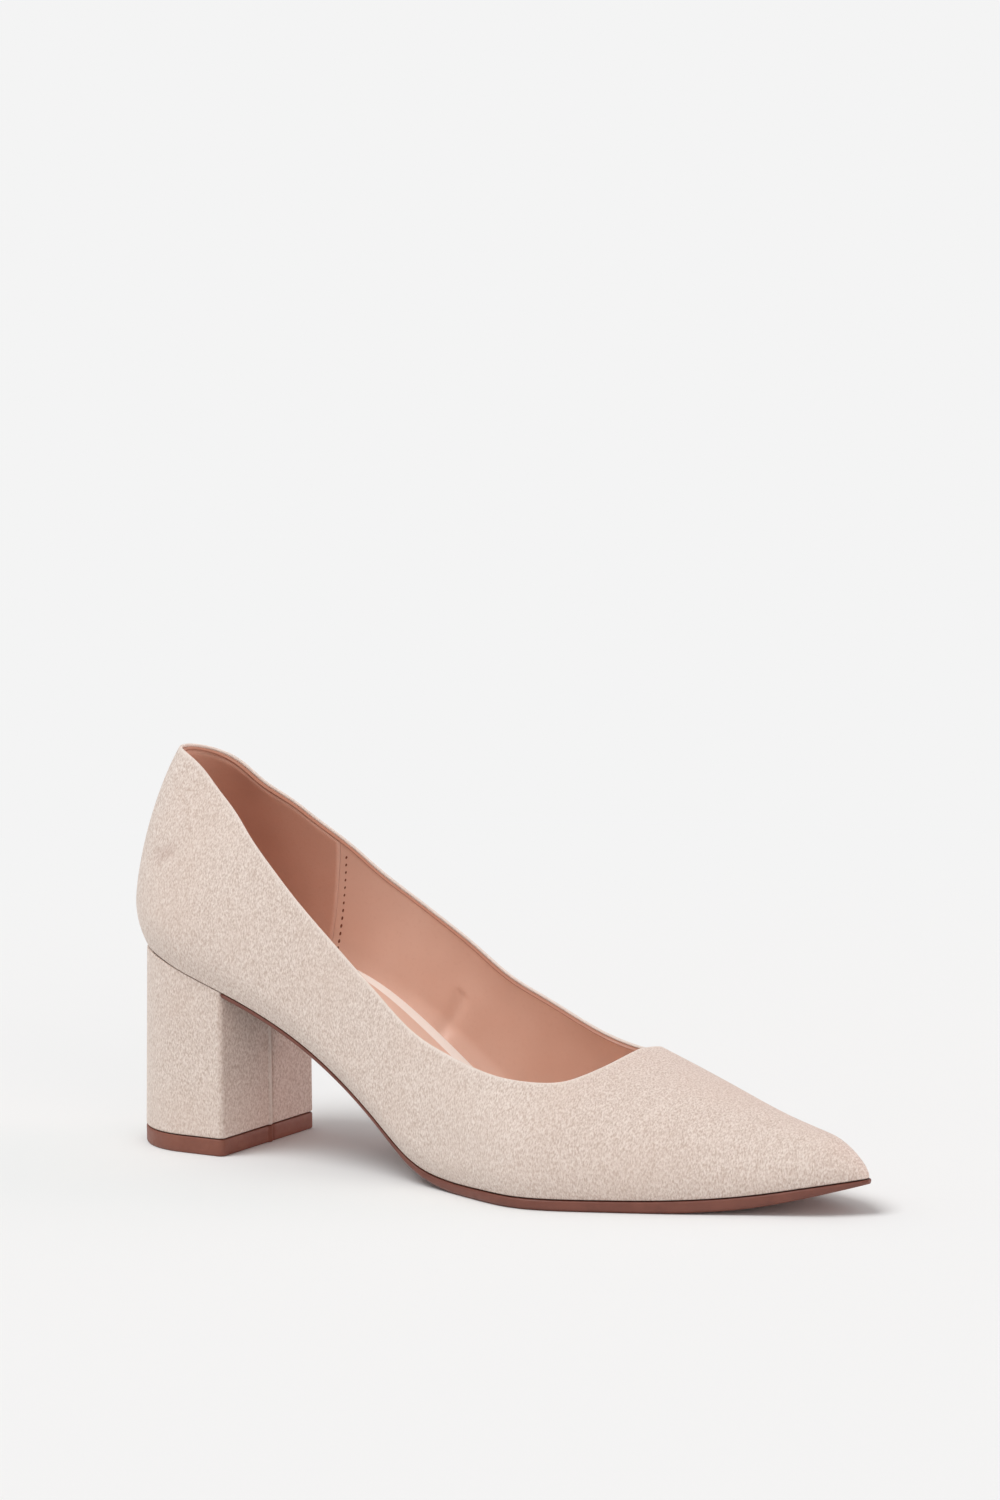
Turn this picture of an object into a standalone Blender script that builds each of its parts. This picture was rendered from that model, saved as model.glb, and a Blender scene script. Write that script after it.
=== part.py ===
"""Pointed court shoe on a covered block heel, right foot, standing empty on the floor.

Metres. +X points to the toe, +Y to the wearer's left (the inner side of this right shoe), +Z up.
The last is a family of ribs: each rises from the featherline, bulges, and closes over at the crown.
Upper, insole, sock, outsole and heel all take their shape from it.
"""

import math
from collections import namedtuple

import bmesh
import bpy
import numpy as np

# Driving sizes of the last
LENGTH = 0.2400  # back of the counter to the toe, level
BALL_WIDTH = 0.0770  # across the featherline at the joints
SEAT_WIDTH = 0.0500  # across the featherline at the heel seat
SEAT_CENTRE = 0.0290  # centre of the round heel seat, from the back
SEAT_TUCK = 0.0042  # how far the featherline lies inside the counter's bulge at the back
HEEL_HEIGHT = 0.0595  # floor to the featherline at the back
ARCH = 0.0050  # how much higher the inner side of the waist is than the outer
TOE_SPRING = 0.0070  # lift of the toe's featherline over the ball's
CROWN_HEIGHT = 0.0600  # the last's crown over its widest level, at the seat
BULGE = 0.0034  # widest level outside the featherline, at the seat
BULGE_LEVEL = 0.0140  # height of that widest level over the featherline
RIDGE_SWING = 0.0030  # how far the toe swings from the heel's centre line
TOE_ROUNDING = 0.0140  # length over which the toe closes
HEEL_FAN = 0.0640  # length of featherline, from the back, over which the ribs turn to face across

# Driving sizes of the pieces
WALL = 0.0020  # outer cloth and lining together
SOLE = 0.0030  # outsole at the forepart
WAIST_SOLE = 0.0008  # outsole at the waist
TOE_SOLE = 0.0012  # outsole at the tip of the toe
TOE_SKIVE = 0.0350  # length over which it thins to that
SOLE_MARGIN = 0.0006  # outsole beyond the featherline at the forepart
SOLE_BEVEL = 0.0009
TREAD_CUT = 0.0004  # how much the floor flattens the forepart
TOP_PIECE = 0.0050
HEEL_DEPTH = 0.0385  # breast to back, at the floor
HEEL_WIDTH = 0.0496  # at the floor
HEEL_RAKE = 0.0018  # the back edge leans this far forward on its way up to the seat
HEEL_ARC = 0.0235  # length of the heel's round back
HEEL_CORNER = 0.0012  # radius of the breast's corners
HEEL_BACK = 0.0024  # heel's back edge, from the back of the counter
HEEL_FLAT = 0.0030  # width of the flat in the middle of the round back
TIP_BEVEL = 0.0004  # round edge of the top piece on the floor
INSOLE = 0.0038  # board, padding and cover
SOCK = 0.0012
SOCK_MARGIN = 0.0062  # insole left showing round the sock
TOE_MARGIN = 0.0046  # insole's inset from the featherline at the toe
BOARD_STOP = 0.0150  # insole and sock end this far short of the toe
GAP = 0.0003  # clearance between pieces that touch

# Mesh density
RIBS = 56  # per side, back to toe
TOE_CROWDING = 0.14  # ribs stand closer at the tip of the toe by this measure
ROWS = 13  # featherline to topline
RIB_SAMPLES = 48
OUTLINE_SAMPLES = 400
HEEL_STEPS = 11
STATIONS = 52  # cross-sections of the layers under the foot, to TOE_AT
TOE_STATIONS = 12  # and from there to the toe
SEAT_STEPS = 8
CORNER_STEPS = 4
SEAT_BEND = 0.16  # angle at which the boards' round back starts, so that it isn't a point
SMALLEST = 0.0004  # layers have no two cross-sections closer than this

# at: share of LENGTH. right, left: half widths, shares of BALL_WIDTH.
# rise: share of the seat's lift over the ball. spring: share of TOE_SPRING. arch: share of ARCH.
# bulge, level, crown: shares of BULGE, BULGE_LEVEL, CROWN_HEIGHT. ridge: share of RIDGE_SWING.
# wide, tall: powers of the rib's arch over its width and its height; 2 and 2 is an ellipse.
Section = namedtuple("Section", "at right left rise spring arch bulge level crown ridge wide tall")
SECTIONS = [
    Section(0.015, 0.320, 0.320, 1.000, 0.00, 0.00, 1.00, 0.95, 0.980, 0.00, 2.00, 1.55),
    Section(0.060, 0.320, 0.320, 0.980, 0.00, 0.00, 1.00, 0.90, 0.965, 0.00, 1.33, 1.50),
    Section(0.120, 0.320, 0.320, 0.895, 0.00, 0.00, 0.95, 0.82, 0.945, 0.00, 1.20, 1.50),
    Section(0.200, 0.316, 0.318, 0.765, 0.00, 0.30, 0.90, 0.72, 0.970, 0.00, 1.70, 1.60),
    Section(0.300, 0.318, 0.318, 0.545, 0.00, 0.90, 1.00, 0.66, 1.000, 0.00, 2.30, 1.80),
    Section(0.400, 0.352, 0.350, 0.228, 0.00, 1.00, 1.10, 0.63, 0.970, -0.02, 2.30, 2.00),
    Section(0.450, 0.387, 0.373, 0.072, 0.00, 0.84, 1.05, 0.62, 0.920, -0.05, 2.25, 2.00),
    Section(0.500, 0.430, 0.400, 0.008, 0.00, 0.60, 0.95, 0.60, 0.855, -0.08, 2.20, 2.00),
    Section(0.570, 0.512, 0.430, 0.000, 0.00, 0.18, 0.70, 0.56, 0.730, -0.20, 2.10, 2.00),
    Section(0.625, 0.555, 0.447, 0.000, 0.00, 0.00, 0.55, 0.52, 0.620, -0.32, 2.05, 2.00),
    Section(0.710, 0.488, 0.437, 0.000, 0.01, 0.00, 0.45, 0.45, 0.490, -0.50, 2.00, 1.90),
    Section(0.800, 0.372, 0.335, 0.000, 0.08, 0.00, 0.35, 0.36, 0.378, -0.70, 2.00, 1.90),
    Section(0.890, 0.245, 0.190, 0.000, 0.37, 0.00, 0.28, 0.26, 0.252, -0.85, 2.00, 1.90),
    Section(0.950, 0.170, 0.105, 0.000, 0.74, 0.00, 0.22, 0.18, 0.165, -0.95, 2.00, 2.00),
    Section(1.000, 0.098, 0.025, 0.000, 1.00, 0.00, 0.18, 0.10, 0.095, -1.00, 2.00, 2.00),
]

# at: share of LENGTH. right, left: the topline's share of the way up the rib, featherline to crown.
Cut = namedtuple("Cut", "at right left")
TOPLINE = [
    Cut(0.0174, 0.730, 0.730),
    Cut(0.052, 0.754, 0.724),
    Cut(0.095, 0.741, 0.722),
    Cut(0.145, 0.716, 0.697),
    Cut(0.195, 0.638, 0.608),
    Cut(0.246, 0.556, 0.530),
    Cut(0.300, 0.496, 0.483),
    Cut(0.360, 0.474, 0.483),
    Cut(0.430, 0.480, 0.520),
    Cut(0.510, 0.472, 0.545),
    Cut(0.588, 0.457, 0.502),
    Cut(0.642, 0.500, 0.535),
    Cut(0.673, 0.589, 0.620),
    Cut(0.692, 0.745, 0.760),
    Cut(0.698, 1.000, 1.000),
]

# Where the zones of the shoe end, as shares of LENGTH from the back
SEAT_BLEND = 0.25  # length over which the seat's width gives way to the sections'
WAIST_AT = 0.35  # up to here the sole is thin and its edge is tucked in
FAN_START = 0.42  # from here the ribs fan out towards the toe
FOREPART_AT = 0.60  # from here it has its full thickness and margin
VAMP_AT = 0.75  # the boards draw in from the featherline from here
TOE_AT = 0.90  # the cross-sections crowd together from here
PAST_TOE = 0.003  # the sole reaches past the featherline's tip by this share


def spline(knots, values):
    """A natural cubic curve through the knots, as a function of one array."""
    knots, values = np.asarray(knots, float), np.asarray(values, float)
    step = np.diff(knots)
    slope = np.diff(values) / step
    count = len(knots)
    matrix, right = np.eye(count), np.zeros(count)
    for i in range(1, count - 1):
        matrix[i, i - 1 : i + 2] = step[i - 1], 2 * (step[i - 1] + step[i]), step[i]
        right[i] = 6 * (slope[i] - slope[i - 1])
    bend = np.linalg.solve(matrix, right)

    def curve(at):
        at = np.asarray(at, float)
        i = np.clip(np.searchsorted(knots, at) - 1, 0, count - 2)
        a, b = knots[i + 1] - at, at - knots[i]
        cubic = (bend[i] * a**3 + bend[i + 1] * b**3) / (6 * step[i])
        left_end = (values[i] / step[i] - bend[i] * step[i] / 6) * a
        right_end = (values[i + 1] / step[i] - bend[i + 1] * step[i] / 6) * b
        return cubic + left_end + right_end

    return curve


def column(name, scale):
    """One column of SECTIONS as a smooth function of the distance from the back."""
    return spline(
        [LENGTH * row.at for row in SECTIONS], [scale * getattr(row, name) for row in SECTIONS]
    )


BALL_LEVEL = SOLE + GAP  # the featherline's height where the forepart is on the floor
SEAT_RISE = HEEL_HEIGHT - BALL_LEVEL
half_width = {-1: column("right", BALL_WIDTH), 1: column("left", BALL_WIDTH)}
rise, spring = column("rise", SEAT_RISE), column("spring", TOE_SPRING)
arch = column("arch", ARCH)
bulge, level = column("bulge", BULGE), column("level", BULGE_LEVEL)
crown, ridge = column("crown", CROWN_HEIGHT), column("ridge", RIDGE_SWING)
wide_power, tall_power = column("wide", 1.0), column("tall", 1.0)


def bottom(side, x):
    """Height of the featherline over the floor."""
    inner = 1 if side > 0 else 0
    return BALL_LEVEL + rise(x) + spring(x) + inner * arch(x)


def toe_round(x):
    """1 along the shoe, falling to 0 at the tip as a quarter ellipse does."""
    into = np.clip((x - LENGTH + TOE_ROUNDING) / TOE_ROUNDING, 0, 1)
    return np.sqrt(1 - into**2)


def side_outline(side):
    """The featherline of one side seen from above, back to toe, as x, y and length along it."""
    turn = np.linspace(0, math.pi / 2, OUTLINE_SAMPLES // 4)
    arc_x = SEAT_CENTRE - (SEAT_CENTRE - SEAT_TUCK) * np.cos(turn)
    arc_y = SEAT_WIDTH / 2 * np.sin(turn)
    close = np.linspace(0, math.pi / 2, OUTLINE_SAMPLES)[1:]
    run_x = SEAT_CENTRE + (LENGTH - SEAT_CENTRE) * np.sin(close)
    seat_share = SEAT_WIDTH / 2 / half_width[side](SEAT_CENTRE)
    settle = np.clip((run_x - SEAT_CENTRE) / (LENGTH * SEAT_BLEND), 0, 1)
    fit = seat_share + (1 - seat_share) * settle**2 * (3 - 2 * settle)
    tip = ridge(LENGTH)
    inner = half_width[side](run_x) * fit - side * tip
    run_y = inner * toe_round(run_x) + side * tip
    x, y = np.concatenate([arc_x, run_x]), np.concatenate([arc_y, run_y])
    length = np.concatenate([[0], np.cumsum(np.hypot(np.diff(x), np.diff(y)))])
    return x, y, length


OUTLINE = {side: side_outline(side) for side in (-1, 1)}
REACH_AT_BACK = HEEL_FAN * 4 / math.pi**2  # the back rib's, where the others' rule is 0 over 0


def rib_points(side, along, up):
    """Points of the last. along: length on the featherline from the back. up: 0 there, 1 at the crown."""
    x_line, y_line, length = OUTLINE[side]
    x, y = np.interp(along, length, x_line), np.interp(along, length, y_line)
    turn = math.pi / 2 * np.sin(math.pi / 2 * np.clip(along / HEEL_FAN, 0.001, 1))
    swing = side * ridge(x) * np.clip(along / HEEL_FAN - 1, 0, 1)
    reach = (y - swing) / np.sin(turn)
    reach = np.where(along < HEEL_FAN * 0.001, REACH_AT_BACK, reach)
    inward = np.stack([np.cos(turn), -np.sin(turn)], axis=-1)
    shrink = toe_round(x)
    out, low = bulge(x) * shrink, level(x) * shrink
    tall = crown(x) * shrink
    tuck = np.linspace(0, 1, RIB_SAMPLES // 4)[:, None]
    sweep = np.linspace(0, math.pi / 2, RIB_SAMPLES)[1:, None]
    cosine, sine = np.maximum(np.cos(sweep), 0), np.sin(sweep)
    inset = np.concatenate(
        [-out * (1 - (1 - tuck) ** 2), -out + (reach + out) * (1 - cosine ** (2 / wide_power(x)))]
    )
    height = np.concatenate([low * tuck, low + tall * sine ** (2 / tall_power(x))])
    girth = np.cumsum(np.hypot(np.diff(inset, axis=0), np.diff(height, axis=0)), axis=0)
    girth = np.concatenate([np.zeros((1, girth.shape[1])), girth])
    points = np.empty((len(along), 3))
    for i, share in enumerate(up):
        place = share * girth[-1, i]
        into = np.interp(place, girth[:, i], inset[:, i])
        points[i, :2] = x[i] + inward[i, 0] * into, side * (y[i] + inward[i, 1] * into)
        points[i, 2] = bottom(side, x[i]) + np.interp(place, girth[:, i], height[:, i])
    return points, girth[-1]


def topline(side):
    """One side's topline, back to throat: length along the featherline, and share up the rib."""
    x_line, _, length = OUTLINE[side]
    along = np.interp([LENGTH * row.at for row in TOPLINE], x_line, length)
    up = np.array([row.right if side < 0 else row.left for row in TOPLINE])
    along = np.concatenate([[-along[1]], along, [along[-2]]])
    up = np.concatenate([[up[1]], up, [2 - up[-2]]])
    even = np.hypot(np.diff(along) / LENGTH, np.diff(up))
    place = np.concatenate([[0], np.cumsum(even)])
    fine = np.linspace(place[1], place[-2], OUTLINE_SAMPLES)
    return spline(place, along)(fine), np.minimum(spline(place, up)(fine), 1.0)


def rib_shares():
    """Even shares from 0 to 1 that crowd together towards the toe's tip."""
    even = np.linspace(0, 1, RIBS + 1)
    return even * (1 + TOE_CROWDING) - TOE_CROWDING * even**6


def side_grid(side):
    """One side's outer surface as a grid: ribs from back to toe, rows from featherline to topline."""
    x_line, _, length = OUTLINE[side]
    cut_along, cut_up = topline(side)
    base = rib_shares() * length[-1]
    fan = np.interp(LENGTH * FAN_START, x_line, length)
    girth = LENGTH / 3
    cut_run = np.concatenate([[0], np.cumsum(np.hypot(np.diff(cut_along), girth * np.diff(cut_up)))])
    fan_run = np.interp(fan, cut_along, cut_run)
    share = np.clip((base - fan) / (length[-1] - fan), 0, 1)
    fanned = fan_run + share * (cut_run[-1] - fan_run)
    run = np.where(base < fan, np.interp(base, cut_along, cut_run), fanned)
    top_along, top_up = np.interp(run, cut_run, cut_along), np.interp(run, cut_run, cut_up)
    top_along = np.where(base < fan, base, top_along)
    grid = np.empty((RIBS + 1, ROWS + 1, 3))
    _, whole = rib_points(side, base, np.zeros(RIBS + 1))
    _, top_whole = rib_points(side, top_along, np.zeros(RIBS + 1))
    for row in range(ROWS + 1):
        lift = (row / ROWS) ** (1 + share**3)
        along = base + (top_along - base) * lift
        left_over = whole * (1 - lift) + (1 - top_up) * top_whole * lift
        _, here = rib_points(side, along, np.zeros(RIBS + 1))
        up = np.where(base < fan, top_up * lift, 1 - left_over / np.maximum(here, 1e-9))
        grid[:, row], _ = rib_points(side, along, np.clip(up, 0, 1))
    grid[-1, :, 1] = ridge(grid[-1, :, 0])
    return grid


def ring_grid():
    """Outer surface all round: right side from back to toe, then left side from toe to back."""
    right, left = side_grid(-1), side_grid(1)
    right[-1] = left[-1] = (right[-1] + left[-1]) / 2
    right[0] = left[0] = (right[0] + left[0]) / 2
    return np.concatenate([right, left[-2:0:-1]])


def grid_normals(grid):
    """Outward unit normals of a grid that closes on itself along its first axis."""
    around = np.roll(grid, -1, axis=0) - np.roll(grid, 1, axis=0)
    upward = np.gradient(grid, axis=1)
    normal = np.cross(around, upward)
    return normal / np.maximum(np.linalg.norm(normal, axis=-1, keepdims=True), 1e-12)


def plan_inward(loop):
    """Level unit vectors pointing into a closed plan loop that runs the way ring_grid does."""
    along = np.roll(loop, -1, axis=0) - np.roll(loop, 1, axis=0)
    inward = np.stack([-along[:, 1], along[:, 0]], axis=-1)
    return inward / np.linalg.norm(inward, axis=-1, keepdims=True)


def new_material(name, colour, roughness, metallic=0.0):
    material = bpy.data.materials.new(name)
    material.use_nodes = True
    shader = material.node_tree.nodes["Principled BSDF"]
    shader.inputs["Base Color"].default_value = (*colour, 1.0)
    shader.inputs["Roughness"].default_value = roughness
    shader.inputs["Metallic"].default_value = metallic
    return material


def new_object(name, points, faces, material):
    mesh = bpy.data.meshes.new(name)
    mesh.from_pydata([tuple(float(c) for c in point) for point in points], [], faces)
    body = bmesh.new()
    body.from_mesh(mesh)
    bmesh.ops.recalc_face_normals(body, faces=body.faces)
    body.to_mesh(mesh)
    body.free()
    mesh.materials.append(material)
    mesh.shade_smooth()
    mesh.set_sharp_from_angle(angle=math.radians(35))
    thing = bpy.data.objects.new(name, mesh)
    bpy.context.scene.collection.objects.link(thing)
    return thing


def loft(rings, cap_start, cap_end):
    """Points and faces of a skin over rings of equal count. A cap is a list of faces in ring indices."""
    count = len(rings[0])
    points = [point for ring in rings for point in ring]
    faces = []
    for level_index in range(len(rings) - 1):
        here, above = level_index * count, (level_index + 1) * count
        for i in range(count):
            after = (i + 1) % count
            faces.append((here + i, here + after, above + after, above + i))
    last = (len(rings) - 1) * count
    faces += [tuple(face) for face in cap_start]
    faces += [tuple(last + i for i in face) for face in cap_end]
    return points, faces


def make_upper(material):
    """One hollow skin: outer surface, topline edge, lining, and the rim that stands on the sole."""
    outer = ring_grid()
    inner = outer - WALL * grid_normals(outer)
    rim = plan_inward(outer[:, 0, :2])
    inner[:, 0, :2] = outer[:, 0, :2] + WALL * rim
    inner[:, 0, 2] = outer[:, 0, 2]
    rings = [outer[:, row] for row in range(ROWS + 1)] + [inner[:, row] for row in range(ROWS, -1, -1)]
    rings.append(rings[0])
    points, faces = loft(rings[:-1], [], [])
    count, last = len(rings[0]), (len(rings) - 2) * len(rings[0])
    for i in range(count):
        after = (i + 1) % count
        faces.append((last + i, last + after, after, i))
    return new_object("upper", points, faces, material)


SHARED_STATIONS = np.concatenate(
    [
        LENGTH * TOE_AT * np.linspace(0, 1, STATIONS)[:-1],
        LENGTH * (TOE_AT + (1 + PAST_TOE - TOE_AT) * np.sin(np.linspace(0, math.pi / 2, TOE_STATIONS))),
    ]
)


def plan_loop(margin):
    """Featherline of both sides moved outward by margin, as x and signed y arrays for each side."""
    sides = {}
    for side in (-1, 1):
        x, y, _ = OUTLINE[side]
        slope_x, slope_y = np.gradient(x), np.gradient(y)
        size = np.hypot(slope_x, slope_y)
        wide = margin(x) if callable(margin) else margin
        moved_x, moved_y = x - slope_y / size * wide, y + slope_x / size * wide
        sides[side] = (moved_x, moved_y)
    return sides


FEATHERLINE = plan_loop(0.0)


def edge_at(sides, side, x):
    """Signed y of a plan loop at x."""
    line_x, line_y = sides[side]
    order = np.argsort(line_x)
    return side * np.interp(x, line_x[order], line_y[order])


def stations(start, end):
    """The shared cross-sections that lie between start and end, with both ends."""
    inside = [x for x in SHARED_STATIONS if start + SMALLEST < x < end - SMALLEST]
    return [start, *inside, end]


def layer_level(x, y):
    """Height of the last's bottom, straight across from side to side and from station to station."""
    outer = np.interp(x, SHARED_STATIONS, bottom(-1, SHARED_STATIONS))
    inner = np.interp(x, SHARED_STATIONS, bottom(1, SHARED_STATIONS))
    right, left = edge_at(FEATHERLINE, -1, x), edge_at(FEATHERLINE, 1, x)
    across = (y - right) / max(left - right, 10 * SMALLEST)
    return float(outer + (inner - outer) * min(max(across, 0.0), 1.0))


def strip_faces(half):
    """Faces across a ring that runs out on the right and comes back on the left, half points each way."""
    count = 2 * half
    return [(i, i + 1, count - 2 - i, count - 1 - i) for i in range(half - 1)]


def make_outsole(material):
    """A thin sole from the heel breast to the toe, flat where it meets the floor."""

    def forepart_share(x):
        into = np.clip((x / LENGTH - WAIST_AT) / (FOREPART_AT - WAIST_AT), 0, 1)
        return into**2 * (3 - 2 * into)

    def margin(x):
        return SOLE_MARGIN * (2 * forepart_share(x) - 1)

    sides = plan_loop(margin)
    start = HEEL_BACK + HEEL_DEPTH + GAP
    tip = LENGTH + SOLE_MARGIN
    rings = []
    for x in stations(start, tip - SMALLEST / 2):
        right, left = edge_at(sides, -1, x), edge_at(sides, 1, x)
        forepart = float(forepart_share(x))
        skive = float(np.clip((x - tip + TOE_SKIVE) / TOE_SKIVE, 0, 1)) ** 2
        thick = WAIST_SOLE + (SOLE - WAIST_SOLE) * forepart + (TOE_SOLE - SOLE) * skive
        outer_top, inner_top = layer_level(x, right) - GAP, layer_level(x, left) - GAP
        depth = thick + TREAD_CUT * forepart * (1 - skive)
        outer_base, inner_base = max(0.0, outer_top - depth), max(0.0, inner_top - depth)
        bevel = min(SOLE_BEVEL, (left - right) / 4)
        rise_up = min(SOLE_BEVEL, thick / 2)
        rings.append(
            [
                (x, right, outer_top),
                (x, left, inner_top),
                (x, left, inner_base + rise_up),
                (x, left - bevel, inner_base),
                (x, right + bevel, outer_base),
                (x, right, outer_base + rise_up),
            ]
        )
    points, faces = loft(rings, [(0, 1, 2, 3, 4, 5)], [(0, 5, 4, 3, 2, 1)])
    return new_object("outsole", points, faces, material)


def heel_outline(rake, inset):
    """D-shaped plan of the heel, right side from breast to back then left side back to the breast."""
    half = HEEL_WIDTH / 2 - inset
    back = HEEL_BACK + rake + inset
    breast = HEEL_BACK + HEEL_DEPTH - inset
    centre = HEEL_BACK + HEEL_ARC
    right = []
    for turn in np.linspace(0, math.pi / 2, CORNER_STEPS):
        right.append(
            (breast - HEEL_CORNER * (1 - math.cos(turn)), -half + HEEL_CORNER * (1 - math.sin(turn)))
        )
    for turn in np.linspace(0, math.pi / 2, HEEL_STEPS + 1)[:-1]:
        right.append((centre - (centre - back) * math.sin(turn), -half * math.cos(turn)))
    left = [(x, -y) for x, y in reversed(right)]
    return right + [(back, -HEEL_FLAT / 2), (back, HEEL_FLAT / 2)] + left


def make_heel(material):
    """Covered block under the seat; its top follows the last's bottom."""
    low, high = heel_outline(0.0, 0.0), heel_outline(HEEL_RAKE, 0.0)
    base = TOP_PIECE + GAP
    rings = [
        [(x, y, base) for x, y in low],
        [(x, y, layer_level(x, y) - GAP) for x, y in high],
    ]
    half = len(low) // 2
    cap = strip_faces(half)
    points, faces = loft(rings, [tuple(reversed(face)) for face in cap], cap)
    return new_object("heel", points, faces, material)


def make_top_piece(material):
    """The rubber tip that the heel stands on."""
    plan = heel_outline(0.0, 0.0)
    foot = heel_outline(0.0, TIP_BEVEL)
    rings = [
        [(x, y, 0.0) for x, y in foot],
        [(x, y, TIP_BEVEL) for x, y in plan],
        [(x, y, TOP_PIECE) for x, y in plan],
    ]
    cap = strip_faces(len(plan) // 2)
    points, faces = loft(rings, [tuple(reversed(face)) for face in cap], cap)
    return new_object("top_piece", points, faces, material)


def make_board(name, margin, toe_margin, lift, thick, material):
    """A layer that lies along the inside of the last's bottom."""

    def inset(x):
        into = np.clip((x / LENGTH - VAMP_AT) / (1 - VAMP_AT), 0, 1)
        return -margin - (toe_margin - margin) * into**2

    sides = plan_loop(inset)
    start = SEAT_TUCK + margin
    end = LENGTH - BOARD_STOP - margin
    turn = np.linspace(SEAT_BEND, math.pi / 2, SEAT_STEPS)[:-1]
    places = [start + (SEAT_CENTRE - start) * (1 - math.cos(angle)) for angle in turn]
    places += stations(SEAT_CENTRE, end)
    rings = []
    for x in places:
        right, left = edge_at(sides, -1, x), edge_at(sides, 1, x)
        outer, inner = layer_level(x, right) + lift, layer_level(x, left) + lift
        rings.append(
            [(x, right, outer), (x, left, inner), (x, left, inner + thick), (x, right, outer + thick)]
        )
    points, faces = loft(rings, [(0, 1, 2, 3)], [(3, 2, 1, 0)])
    return new_object(name, points, faces, material)


def stand_on_origin(things):
    """Moves every piece so that the floor is z = 0 and the plan box is centred on the origin."""
    corners = np.array([vertex.co[:] for thing in things for vertex in thing.data.vertices])
    centre = (corners.min(axis=0) + corners.max(axis=0)) / 2
    for thing in things:
        for vertex in thing.data.vertices:
            vertex.co.x -= centre[0]
            vertex.co.y -= centre[1]


def main():
    for thing in list(bpy.data.objects):
        bpy.data.objects.remove(thing)
    cloth = new_material("beige_cloth", (0.74, 0.63, 0.55), 0.85)
    rubber = new_material("brown_rubber", (0.24, 0.08, 0.045), 0.45)
    board = new_material("cream_board", (0.75, 0.64, 0.56), 0.8)
    nude = new_material("nude_sock", (0.62, 0.36, 0.26), 0.6)
    things = [
        make_upper(cloth),
        make_outsole(rubber),
        make_heel(cloth),
        make_top_piece(rubber),
        make_board("insole", WALL + GAP, TOE_MARGIN, 0.0, INSOLE, board),
        make_board("sock", WALL + GAP + SOCK_MARGIN, TOE_MARGIN + SOCK_MARGIN, INSOLE + GAP, SOCK, nude),
    ]
    stand_on_origin(things)


main()
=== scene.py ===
# Pointed court shoe on a covered block heel, right foot, empty: its looks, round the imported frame.
# Metres, sRGB hex colours. Along the foot, distances are counted from the back of the counter.
import math

import bpy
import numpy as np
from mathutils import Matrix, Vector


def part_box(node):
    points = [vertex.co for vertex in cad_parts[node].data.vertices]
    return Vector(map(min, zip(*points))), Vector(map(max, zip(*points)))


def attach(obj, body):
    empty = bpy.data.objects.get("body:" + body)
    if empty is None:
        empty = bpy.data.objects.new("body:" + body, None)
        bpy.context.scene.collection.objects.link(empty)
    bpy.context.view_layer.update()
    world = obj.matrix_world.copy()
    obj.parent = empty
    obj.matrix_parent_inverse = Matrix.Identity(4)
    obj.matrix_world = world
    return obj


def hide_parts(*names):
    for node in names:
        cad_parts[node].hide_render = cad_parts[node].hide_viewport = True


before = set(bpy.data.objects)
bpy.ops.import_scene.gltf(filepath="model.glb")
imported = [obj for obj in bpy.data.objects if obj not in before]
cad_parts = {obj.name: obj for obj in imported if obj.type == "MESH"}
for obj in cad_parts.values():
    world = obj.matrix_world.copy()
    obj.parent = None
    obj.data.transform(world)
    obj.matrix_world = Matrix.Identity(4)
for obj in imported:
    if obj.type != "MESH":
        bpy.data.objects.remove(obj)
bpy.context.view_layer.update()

# The last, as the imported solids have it
last = {
    "length": 0.2400,
    "ballWidth": 0.0770,
    "seatWidth": 0.0500,
    "seatCentre": 0.0290,
    "seatTuck": 0.0042,  # featherline inside the counter's bulge at the back
    "heelHeight": 0.0595,
    "arch": 0.0050,
    "toeSpring": 0.0070,
    "crownHeight": 0.0600,
    "bulge": 0.0034,
    "bulgeLevel": 0.0140,
    "ridgeSwing": 0.0030,
    "toeRounding": 0.0140,
    "heelFan": 0.0640,  # featherline over which the ribs turn to face across
    "fanLeast": 0.001,  # least share of it that is reckoned with, as at 0 a rib would have no width
    "ballLevel": 0.0033,  # featherline over the floor at the forepart
    "seatBlend": 0.25,  # share of the length over which the seat's width gives way to the sections'
    "fanStart": 0.42,  # from here the ribs fan out towards the toe
    "girth": 0.08,  # rough way up a rib, for spacing the ribs along the topline
    "tipWidth": 0.004,  # the bottom's slope across is worked out over at least this
    "gapUnder": 0.0003,  # clearance between pieces that touch
}
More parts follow.
